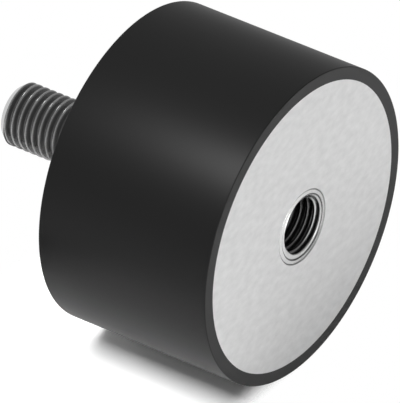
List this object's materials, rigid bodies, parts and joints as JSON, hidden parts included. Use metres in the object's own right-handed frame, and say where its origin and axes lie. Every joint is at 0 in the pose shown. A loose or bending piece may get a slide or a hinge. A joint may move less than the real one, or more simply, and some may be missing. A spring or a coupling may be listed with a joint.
{
  "type": "rubber buffer",
  "caption": "Cylindrical rubber buffer with a steel plate in each end, a threaded stud at one end and a tapped bush at the other.",
  "frame": {"origin": "centre of the bush face, on the surface that the buffer stands on", "axes": "+Z along the buffer's axis, from the bush end to the stud's tip; X and Y are any two square directions across it"},
  "size_m": [0.05, 0.05, 0.0519],
  "materials": {
    "rubber": "moulded natural rubber, satin black",
    "plate_zinc": "pressed sheet steel, matt clear zinc plating",
    "insert_zinc": "turned and threaded steel, bright zinc plating"
  },
  "bodies": {
    "root": {"rubber_body": "rubber", "bush_plate": "plate_zinc", "stud_plate": "plate_zinc", "threaded_bush": "insert_zinc", "threaded_stud": "insert_zinc"}
  },
  "joints": []
}
